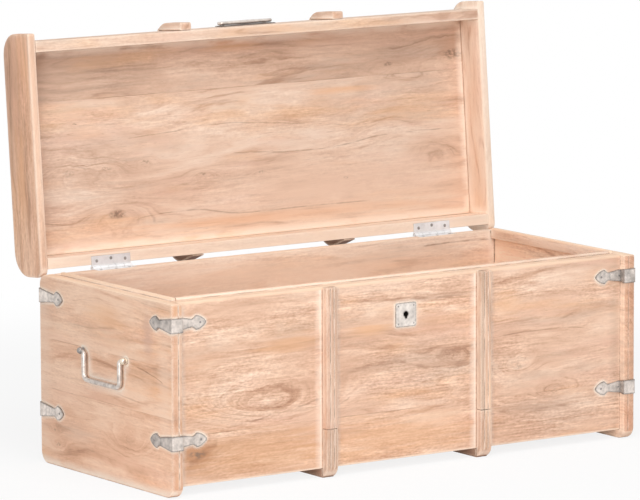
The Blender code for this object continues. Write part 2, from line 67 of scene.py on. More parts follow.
class Graph:
    """Short hand for filling a shader or geometry node tree."""

    def __init__(self, tree, prefix="ShaderNode"):
        self.tree = tree
        self.prefix = prefix

    def put(self, socket, value):
        if isinstance(value, bpy.types.NodeSocket):
            self.tree.links.new(value, socket)
        else:
            socket.default_value = value

    def add(self, kind, inputs=(), **settings):
        made = self.tree.nodes.new(self.prefix + kind)
        for name, value in settings.items():
            setattr(made, name, value)
        for key, value in dict(inputs).items():
            self.put(made.inputs[key], value)
        return made

    def math(self, operation, a, b=0.0, c=0.0):
        return self.add("Math", {0: a, 1: b, 2: c}, operation=operation).outputs[0]

    def total(self, *terms):
        """Sum of (value, weight) terms."""
        result = 0.0
        for value, weight in terms:
            result = self.math("MULTIPLY_ADD", value, weight, result)
        return result

    def product(self, first, *others):
        for other in others:
            first = self.math("MULTIPLY", first, other)
        return first

    def distance(self, a, b):
        return self.math("ABSOLUTE", self.math("SUBTRACT", a, b))

    def vector(self, operation, a, b=(0, 0, 0)):
        return self.add("VectorMath", {0: a, 1: b}, operation=operation).outputs[0]

    def length(self, a):
        return self.add("VectorMath", {0: a}, operation="LENGTH").outputs["Value"]

    def join(self, x=0.0, y=0.0, z=0.0):
        return self.add("CombineXYZ", {0: x, 1: y, 2: z}).outputs[0]

    def split(self, a):
        return self.add("SeparateXYZ", {0: a}).outputs

    def noise(self, place, detail=2.0, rough=0.5, scale=1.0):
        inputs = {"Vector": place, "Scale": scale, "Detail": detail, "Roughness": rough}
        return self.add("TexNoise", inputs).outputs["Fac"]

    def sway(self, place, detail=2.0):
        """Noise about zero."""
        return self.math("SUBTRACT", self.noise(place, detail), 0.5)

    def cells(self, place, per_metre, detail=2.0):
        """Noise with its own number of cells a metre along each axis."""
        return self.noise(self.vector("MULTIPLY", place, per_metre), detail)

    def slide(self, value, low, high, to_low, to_high, kind="LINEAR"):
        inputs = {"Value": value, "From Min": low, "From Max": high, "To Min": to_low, "To Max": to_high}
        return self.add("MapRange", inputs, interpolation_type=kind).outputs["Result"]

    def span(self, value, low, high, to_low=0.0, to_high=1.0):
        return self.slide(value, low, high, to_low, to_high, "SMOOTHSTEP")

    def mix(self, factor, a, b, blend="MIX"):
        made = self.add("Mix", data_type="RGBA", blend_type=blend)
        self.put(made.inputs[0], factor)
        self.put(made.inputs[6], a)
        self.put(made.inputs[7], b)
        return made.outputs[2]

    def ramp(self, value, stops):
        made = self.add("ValToRGB", {0: value})
        points = made.color_ramp.elements
        while len(points) < len(stops):
            points.new(0.5)
        for point, (place, colour) in zip(points, stops):
            point.position = place
            point.color = colour
        return made.outputs[0]

    def facing(self, radius):
        """How squarely the surface faces its own rounded self: 1 on flats, less near arrises."""
        rounded = self.add("Bevel", {"Radius": radius}, samples=4).outputs[0]
        true = self.add("NewGeometry").outputs["True Normal"]
        return self.add("VectorMath", {0: rounded, 1: true}, operation="DOT_PRODUCT").outputs["Value"]

    def openness(self, distance):
        """1 in the open, less where other surfaces stand within the distance."""
        return self.add("AmbientOcclusion", {"Distance": distance}, samples=6).outputs["AO"]


def group(name, inputs, outputs):
    """A shader node group with the given sockets, and the sockets inside its two ends."""
    tree = bpy.data.node_groups.new(name, "ShaderNodeTree")
    for in_out, sockets in (("INPUT", inputs), ("OUTPUT", outputs)):
        for label, kind in sockets:
            tree.interface.new_socket(label, in_out=in_out, socket_type="NodeSocket" + kind)
    return tree, tree.nodes.new("NodeGroupInput").outputs, tree.nodes.new("NodeGroupOutput").inputs


def new_material(name):
    """A material, its graph and its shader."""
    mat = bpy.data.materials.new(name)
    mat.use_nodes = True
    return mat, Graph(mat.node_tree), mat.node_tree.nodes["Principled BSDF"]


# colours are linear; first the grain from dark to light, then the drifts of colour over it
BROWN = (0.560, 0.345, 0.240, 1)
TAN = (0.730, 0.462, 0.325, 1)
FLESH = (0.825, 0.552, 0.402, 1)
CREAM = (0.915, 0.672, 0.520, 1)
ORANGE = (0.850, 0.490, 0.275, 1)
ASH = (0.640, 0.452, 0.345, 1)
PINK = (0.815, 0.505, 0.385, 1)
# late wood and veins darken what they lie on
LATE = (0.760, 0.680, 0.630, 1)
VEIN = (0.500, 0.385, 0.325, 1)
# knots and stains, and the peach that is painted light on the back panel's inside
CORE = (0.300, 0.190, 0.130, 1)
RUST = (0.480, 0.230, 0.120, 1)
PEACH = (0.980, 0.690, 0.500, 1)
SMEAR = (0.640, 0.400, 0.310, 1)
# arrises and sills, inner corners, wood round the irons, rims of lips and ends, and the front's rim; the rims
# are worn pale and partly a painted highlight along the lit top edges
SANDED = (0.960, 0.790, 0.645, 1)
LIME = (0.970, 0.815, 0.690, 1)
HALO = (1.000, 0.900, 0.790, 1)
BUTTER = (0.970, 0.725, 0.535, 1)
RIM_WEAR_AND_HIGHLIGHT = (0.930, 0.670, 0.485, 1)
# joint lines, partly dirt and partly painted shade in tight corners, and the painted shade inside the keyhole
CREVICE = (0.300, 0.180, 0.120, 1)
KEYHOLE_PAINTED_SHADE = (0.018, 0.013, 0.010, 1)
# tints of whole boards, or of one strip
LID_TINT = (0.960, 1.020, 1.060, 1)
PALE_TINT = (1.000, 1.065, 1.100, 1)
END_TINT = (0.990, 0.925, 0.875, 1)
# painted light: lifts the right end board, whose inner face stands in shade
RIGHT_PAINTED_LIGHT = (1.150, 1.200, 1.195, 1)
STRIP_TINT = (0.860, 0.800, 0.765, 1)
RIGHT_STRIP_TINT = (0.790, 0.640, 0.570, 1)
FRONT_LIP_TINT = (0.980, 0.890, 0.815, 1)
LEFT_RIB_TINT = (0.910, 0.870, 0.850, 1)
LEFT_FOOT_TINT = (0.870, 0.900, 0.920, 1)
# painted shade: darkens the lid's back ribs in the hinge gap and the runners under the trunk
UNDERSIDE_PAINTED_SHADE = (0.270, 0.200, 0.150, 1)
RUNNER_PAINTED_SHADE = (0.400, 0.330, 0.290, 1)

# widths of the grain's bands, fine streaks and long contours, in metres
BAND = 0.0085
STREAK = 0.0026
CONTOUR = 0.060
# drifts of colour: tint, where the noise is read, from which level, and how strong
DRIFTS = ((ORANGE, (9, 4, 2), 0.50, 0.55), (ASH, (3, 8, 5), 0.52, 0.60), (PINK, (1, 2, 8), 0.50, 0.40))
DRIFT_SOFT = 0.20
# fine streaks darken red least, so that they stay as warm as the wood
GRIT_RGB = (0.72, 1.00, 1.15)
GRIT_MIDDLE = 0.70


def timber_group():
    """Limed wood in board space: x along the grain, y across the board, z through it, in metres."""
    tree, given, result = group(
        "timber",
        [("Board", "Vector"), ("Seed", "Float"), ("Slope", "Float"), ("Bulge", "Float"), ("Tone", "Float"),
         ("Grit", "Float"), ("Contrast", "Float")],
        [("Color", "Color"), ("Roughness", "Float"), ("Height", "Float")],
    )
    g = Graph(tree)
    seed = given["Seed"]
    shift = g.join(seed, g.math("MULTIPLY", seed, 0.37), g.math("MULTIPLY", seed, 0.71))
    place = g.vector("ADD", given["Board"], shift)
    along, across, deep = g.split(given["Board"])

    def stretched(x, y, away=(0, 0, 0)):
        """The place to read noise of x cells a metre along the grain and y across it."""
        return g.vector("ADD", g.vector("MULTIPLY", place, (x, y, y)), away)

    figure = g.total(
        (g.math("MULTIPLY", across, given["Slope"]), 1.0),
        (deep, 0.6),
        (g.sway(stretched(1.6, 6.0)), 0.105),
        (g.sway(stretched(6.0, 32.0)), 0.013),
        (g.sway(stretched(26.0, 130.0)), 0.0035),
        (given["Bulge"], 1.0),
    )

    def banded(thick, drift, detail, rough):
        """Noise that follows the figure's lines and drifts along the grain."""
        line = g.join(g.math("DIVIDE", figure, thick), g.math("MULTIPLY", along, drift), seed)
        return g.noise(line, detail, rough)

    bands = banded(BAND, 6.0, 4.0, 0.62)
    streak = banded(STREAK, 18.0, 2.0, 0.6)
    cloud = g.noise(stretched(4.0, 18.0), 4.0, 0.6)
    strand = g.noise(stretched(13.0, 330.0), 2.0, 0.6)
    fibre = g.noise(stretched(60.0, 420.0), 3.0, 0.7)
    fleck = g.noise(stretched(170.0, 330.0))
    blend = g.math("SUBTRACT", g.total((bands, 0.42), (cloud, 0.58)), 0.5)
    blend = g.math("ADD", g.math("MULTIPLY_ADD", blend, given["Contrast"], 0.5), given["Tone"])
    colour = g.ramp(blend, [(0.30, BROWN), (0.43, TAN), (0.52, FLESH), (0.64, CREAM)])

    for tint, away, low, share in DRIFTS:
        spread = g.span(g.noise(stretched(3.4, 19.0, away), 4.0, 0.6), low, low + DRIFT_SOFT)
        colour = g.mix(g.math("MULTIPLY", spread, share), colour, tint)
    patchy = g.span(g.noise(stretched(3.0, 14.0, (6, 1, 7))), 0.38, 0.66)
    dark = g.product(g.span(bands, 0.44, 0.30), g.math("MULTIPLY_ADD", patchy, 0.7, 0.2))
    colour = g.mix(dark, colour, LATE, "MULTIPLY")
    contour = g.math("FRACT", g.math("MULTIPLY", banded(CONTOUR, 1.2, 1.0, 0.5), 4.0))
    vein = g.span(g.distance(contour, 0.5), 0.035, 0.0)
    vein = g.product(vein, g.span(g.noise(stretched(9.0, 60.0), 3.0), 0.48, 0.66), 0.40)
    colour = g.mix(vein, colour, VEIN, "MULTIPLY")
    pores = g.span(g.noise(stretched(70.0, 1200.0), 1.0), 0.64, 0.73)
    colour = g.mix(g.math("MULTIPLY", pores, 0.30), colour, VEIN, "MULTIPLY")
    fine = g.total((streak, 0.34), (strand, 0.34), (fibre, 0.42), (fleck, 0.30))
    rough_patch = g.span(g.noise(stretched(5.0, 17.0, (2, 7, 4)), 3.0), 0.36, 0.64, 0.25, 1.75)
    fine = g.product(g.math("SUBTRACT", fine, GRIT_MIDDLE), rough_patch, given["Grit"])
    grit = g.join(*(g.math("MULTIPLY_ADD", fine, k, 1.0) for k in GRIT_RGB))

    g.put(result["Color"], g.vector("MULTIPLY", colour, grit))
    g.put(result["Roughness"], g.math("MULTIPLY_ADD", streak, -0.16, 0.72))
    height = g.total((streak, 0.5), (fibre, 0.25), (pores, -0.4), (dark, -0.3), (vein, -0.3))
    g.put(result["Height"], height)
    return tree


# a knot's rings along the grain, its ragged outline, and how far it pushes the grain aside
KNOT_STRETCH = 0.40
KNOT_RAGGED = 0.012
KNOT_BULGE = 2.2


def knot_group():
    """One knot: how far the grain bulges round it, and its dark core."""
    tree, given, result = group(
        "knot",
        [("Board", "Vector"), ("Centre", "Vector"), ("Size", "Float")],
        [("Bulge", "Float"), ("Core", "Float")],
    )
    g = Graph(tree)
    board = given["Board"]
    x, y, _ = g.split(g.vector("SUBTRACT", board, given["Centre"]))
    y = g.math("MULTIPLY_ADD", g.sway(g.vector("MULTIPLY", board, (60, 90, 0))), KNOT_RAGGED, y)
    reach = g.math("DIVIDE", g.length(g.join(g.math("MULTIPLY", x, KNOT_STRETCH), y)), given["Size"])
    g.put(result["Bulge"], g.product(g.span(reach, 3.0, 0.0), given["Size"], KNOT_BULGE))
    broken = g.span(g.cells(board, (150, 260, 0), 3.0), 0.35, 0.6)
    g.put(result["Core"], g.product(g.span(reach, 0.62, 0.22), broken))
    return tree


# how far the edge masks look, and how round they take an arris to be, in metres
TIGHT_REACH = 0.0024
NEAR_REACH = 0.006
WIDE_REACH = 0.016
ARRIS_R = 0.0050


def edge_group():
    """Lime left along inner corners, a pale halo round thin irons, sanded arrises, and dark joint lines that
    are partly dirt and partly painted shade in tight corners.
    """
    tree, given, result = group(
        "edges",
        [("Color", "Color"), ("Place", "Vector"), ("Joint", "Float"), ("Lime", "Float"), ("Worn", "Float")],
        [("Color", "Color")],
    )
    g = Graph(tree)
    place = given["Place"]
    tight = g.openness(TIGHT_REACH)
    near = g.openness(NEAR_REACH)
    wide = g.openness(WIDE_REACH)
    rubbed = g.span(g.cells(place, (22, 60, 60), 3.0), 0.22, 0.55)
    limed = g.product(g.span(wide, 0.96, 0.72), g.span(near, 0.40, 0.70), rubbed, 0.85)
    colour = g.mix(g.math("MULTIPLY", limed, given["Lime"]), given["Color"], LIME)
    halo = g.product(g.span(near, 0.985, 0.86), g.span(near, 0.42, 0.58), g.span(wide, 0.60, 0.74), 0.95)
    colour = g.mix(g.math("MULTIPLY", halo, given["Lime"]), colour, HALO)
    worn = g.product(g.span(g.facing(ARRIS_R), 0.997, 0.88), g.span(near, 0.50, 0.85), rubbed, 0.95)
    colour = g.mix(g.math("MULTIPLY", worn, given["Worn"]), colour, SANDED)
    # dark joint lines in tight corners: partly dirt, partly painted shade
    gaps = g.span(g.cells(place, (34, 90, 90), 3.0), 0.36, 0.60, 0.25, 1.0)
    colour = g.mix(g.product(g.span(tight, 0.94, 0.66), gaps, given["Joint"]), colour, CREVICE)
    g.put(result["Color"], colour)
    return tree


TIMBER = timber_group()
KNOT = knot_group()
EDGES = edge_group()

# levels and places on the trunk that the figures refer to
FRONT_LOW, FRONT_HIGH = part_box("front_panel")
PLATE_LOW, PLATE_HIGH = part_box("key_plate")
BODY_RIM = FRONT_HIGH[2]
LIP_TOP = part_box("left_lip")[1][2]
LID_SILL = LID_AXIS.z + 0.0003
END_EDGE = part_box("left_end_board")[0][1] + 0.0015
KEY_Z = (PLATE_LOW[2] + PLATE_HIGH[2]) / 2
RECESS_SKIN = 0.0006
RECESS_REACH = 0.013
# planks of one board: change of seed, half width of the seam and of its dark middle
PLANK_SEED = 3.7
SEAM_HALF = 0.0008
SEAM_CORE = 0.0002
# depth of the sanded sill and of the reeds, share of the joint lines behind the reeds, and the unlimed end
SILL_DEEP = 0.0036
REED_DEEP = 0.0030
REED_JOINT = 0.10
UNLIMED_FADE = 0.015
UNLIMED_SHARE = 0.05
# a vein's ripple and the share of it that fades at each end, and the ragged outline of the stains, painted
# light and shades
VEIN_RIPPLE = 0.006
VEIN_FADE = 0.08
PATCH_RAGGED = 1.3
WOOD_SPECULAR = 0.3
WOOD_BUMP = {"Strength": 0.22, "Distance": 0.0006}


def board_space(g, order, in_lid):
    """Object coordinates turned so that x runs along the grain, y across the board and z through it."""
    place = g.add("TexCoord").outputs["Object"]
    if in_lid:
        turn = g.add("Mapping", {"Vector": place})
        turn.inputs["Rotation"].default_value = LID_CLOSING.to_euler()
        turn.inputs["Location"].default_value = LID_AXIS - LID_CLOSING @ LID_AXIS
        place = turn.outputs[0]
    axes = g.split(place)
    return g.join(*(axes["XYZ".index(axis)] for axis in order))


def line_mask(g, place, points, half):
    """A thin broken line through (along, across) points."""
    along, across, _ = g.split(place)
    (x_low, _), (x_high, _) = points[0], points[-1]
    y_low = min(y for _, y in points)
    y_high = max(y for _, y in points)
    share = g.slide(along, x_low, x_high, 0.0, 1.0)
    curve = g.add("FloatCurve", {"Value": share})
    knees = curve.mapping.curves[0].points
    while len(knees) < len(points):
        knees.new(0.5, 0.5)
    for knee, (x, y) in zip(knees, points):
        knee.location = ((x - x_low) / (x_high - x_low), (y - y_low) / (y_high - y_low))
    curve.mapping.update()
    middle = g.slide(curve.outputs[0], 0.0, 1.0, y_low, y_high)
    ripple = g.sway(g.vector("MULTIPLY", place, (14, 60, 0)), 3.0)
    off = g.math("ABSOLUTE", g.total((across, 1.0), (middle, -1.0), (ripple, VEIN_RIPPLE)))
    ends = g.product(g.span(share, 0.0, VEIN_FADE), g.span(share, 1.0, 1.0 - VEIN_FADE))
    broken = g.span(g.cells(place, (30, 160, 0), 3.0), 0.34, 0.58)
    return g.product(g.span(off, half, half * 0.2), ends, broken)


def patch_mask(g, place, spot, half_length, half_width):
    """A soft streaky patch."""
    offset = g.vector("SUBTRACT", place, (*spot, 0))
    offset = g.vector("MULTIPLY", offset, (1 / half_length, 1 / half_width, 0))
    ragged = g.sway(g.vector("MULTIPLY", place, (9, 130, 0)), 3.0)
    return g.span(g.math("MULTIPLY_ADD", ragged, PATCH_RAGGED, g.length(offset)), 1.0, 0.15)


def planks(g, place, figure, seed, tone):
    """Seed and tone that change from plank to plank, and the lines where planks meet."""
    along, across, _ = g.split(place)
    lines = 0.0
    for seam, change in figure.get("seams", ()):
        past = g.math("GREATER_THAN", across, seam)
        if "front_edge" in figure:
            past = g.math("MULTIPLY", past, g.math("GREATER_THAN", along, END_EDGE))
        seed = g.math("MULTIPLY_ADD", past, PLANK_SEED, seed)
        tone = g.math("MULTIPLY_ADD", past, change, tone)
        lines = g.math("ADD", lines, g.span(g.distance(across, seam), SEAM_HALF, SEAM_CORE))
    return seed, tone, lines


def knots(g, place, figure):
    """How far the board's knots push the grain aside, and their dark cores."""
    bulge = core = 0.0
    for x, y, size, dark in figure.get("knots", ()):
        knot = g.add("Group", node_tree=KNOT)
        g.put(knot.inputs["Board"], place)
        knot.inputs["Centre"].default_value = (x, y, 0)
        knot.inputs["Size"].default_value = size
        bulge = g.math("ADD", bulge, knot.outputs["Bulge"])
        core = g.math("MULTIPLY_ADD", knot.outputs["Core"], dark, core)
    return bulge, core


def marked(g, place, figure, colour):
    """The colour with the board's tint, stains and painted light, shades, many of them painted shade, and
    veins.
    """
    if "tint" in figure:
        colour = g.mix(1.0, colour, figure["tint"], "MULTIPLY")
    for x, y, half_length, half_width, tint, share in figure.get("stains", ()):
        mask = patch_mask(g, place, (x, y), half_length, half_width)
        colour = g.mix(g.math("MULTIPLY", mask, share), colour, tint)
    for x, y, half_length, half_width, tint in figure.get("shades", ()):
        mask = patch_mask(g, place, (x, y), half_length, half_width)
        colour = g.mix(mask, colour, tint, "MULTIPLY")
    for points, half, share in figure.get("veins", ()):
        mask = line_mask(g, place, points, half)
        colour = g.mix(g.math("MULTIPLY", mask, share), colour, VEIN, "MULTIPLY")
    return colour


def joint_share(g, place, figure):
    """How dark the joint lines are; on a reeded face only its grooves are."""
    share = figure.get("joint", 0.75)
    if "reeds" in figure:
        deep = g.distance(g.split(place)[2], figure["reeds"])
        share = g.span(deep, REED_DEEP, REED_DEEP * 0.8, REED_JOINT, share)
    return share


def edged(g, place, figure, colour):
    """The colour with lime, halo, worn arrises and joint lines."""
    edges = g.add("Group", node_tree=EDGES)
    g.put(edges.inputs["Color"], colour)
    g.put(edges.inputs["Place"], place)
    g.put(edges.inputs["Joint"], joint_share(g, place, figure))
    edges.inputs["Lime"].default_value = figure.get("lime", 1.0)
    edges.inputs["Worn"].default_value = figure.get("worn", 1.0)
    if "unlimed" in figure:
        start = figure["unlimed"]
        lime = g.span(g.split(place)[0], start, start + UNLIMED_FADE, 1.0, UNLIMED_SHARE)
        g.put(edges.inputs["Lime"], lime)
    return edges.outputs["Color"]


def finished(g, place, figure, colour):
    """The colour with the pale rim along the top, worn and partly a painted highlight, the sill along the
    bottom and painted shade inside the keyhole.
    """
    px, py, pz = g.split(place)
    # a pale band along the top edge: worn finish, and partly a painted highlight of the lit top edge
    if "rim" in figure:
        rubbed = g.span(g.cells(place, (14, 0, 60), 3.0), 0.25, 0.60, 0.35, 0.90)
        rim, deep, pale = figure["rim"]
        top = g.span(py, rim - deep, rim - deep * 0.5)
        colour = g.mix(g.product(top, rubbed), colour, pale)
    if "sill" in figure:
        sill, share = figure["sill"]
        low = g.span(py, sill + SILL_DEEP, sill + SILL_DEEP * 0.5)
        colour = g.mix(g.math("MULTIPLY", low, share), colour, SANDED)
    # near black painted shade on the wood inside the keyhole
    if "recess" in figure:
        (x, y), (outer, inner), reach = figure["recess"]
        away = g.length(g.join(g.math("SUBTRACT", px, x), g.math("SUBTRACT", py, y)))
        inside = g.product(g.math("GREATER_THAN", pz, outer), g.math("LESS_THAN", pz, inner))
        colour = g.mix(g.product(g.math("LESS_THAN", away, reach), inside), colour, KEYHOLE_PAINTED_SHADE)
    return colour


def wood(name, order, in_lid, seed, tone, figure):
    """A board's material, with the planks, knots, veins, stains, painted light and painted shade of its
    figure.
    """
    mat, g, shader = new_material(name)
    place = board_space(g, order, in_lid)
    seed, tone, lines = planks(g, place, figure, seed, tone)
    bulge, core = knots(g, place, figure)

    timber = g.add("Group", node_tree=TIMBER)
    for label, value in (("Board", place), ("Seed", seed), ("Bulge", bulge), ("Tone", tone)):
        g.put(timber.inputs[label], value)
    timber.inputs["Slope"].default_value = figure.get("slope", 0.7)
    timber.inputs["Grit"].default_value = figure.get("grit", 1.0)
    timber.inputs["Contrast"].default_value = figure.get("contrast", 1.0)
    colour = marked(g, place, figure, timber.outputs["Color"])
    if "seams" in figure:
        broken = g.span(g.cells(place, (12, 40, 0)), 0.40, 0.64, 0.05, 0.60)
        colour = g.mix(g.math("MULTIPLY", lines, broken), colour, VEIN, "MULTIPLY")
    if "knots" in figure:
        colour = g.mix(core, colour, CORE)
    if "front_edge" in figure:
        strip = g.math("LESS_THAN", g.split(place)[0], END_EDGE)
        colour = g.mix(strip, colour, figure["front_edge"], "MULTIPLY")
    colour = finished(g, place, figure, edged(g, place, figure, colour))

    g.put(shader.inputs["Base Color"], colour)
    g.put(shader.inputs["Roughness"], timber.outputs["Roughness"])
    relief = g.add("Bump", {**WOOD_BUMP, "Height": timber.outputs["Height"]})
    g.put(shader.inputs["Normal"], relief.outputs[0])
    shader.inputs["Specular IOR Level"].default_value = WOOD_SPECULAR
    return mat


# each kind of board: the axes along, across and through its grain, its seed and how light it is
BOARDS = {
    "front_panel": ("XZY", 3.0, 0.0),
    "back_panel": ("XZY", 11.0, 0.0),
    "bottom_panel": ("XYZ", 17.0, 0.0),
    "end_board": ("YZX", 23.0, 0.0),
    "rib": ("ZXY", 31.0, -0.04),
    "foot": ("ZXY", 41.0, -0.11),
    "runner": ("YXZ", 47.0, 0.0),
    "front_lip": ("XZY", 83.0, 0.10),
    "lip": ("YZX", 89.0, 0.10),
    "top_panel": ("XYZ", 53.0, 0.0),
    "wall": ("XZY", 61.0, 0.06),
    "end": ("YZX", 67.0, 0.0),
    "top_rib": ("YXZ", 73.0, 0.05),
}
SEED_STEP = 1.9

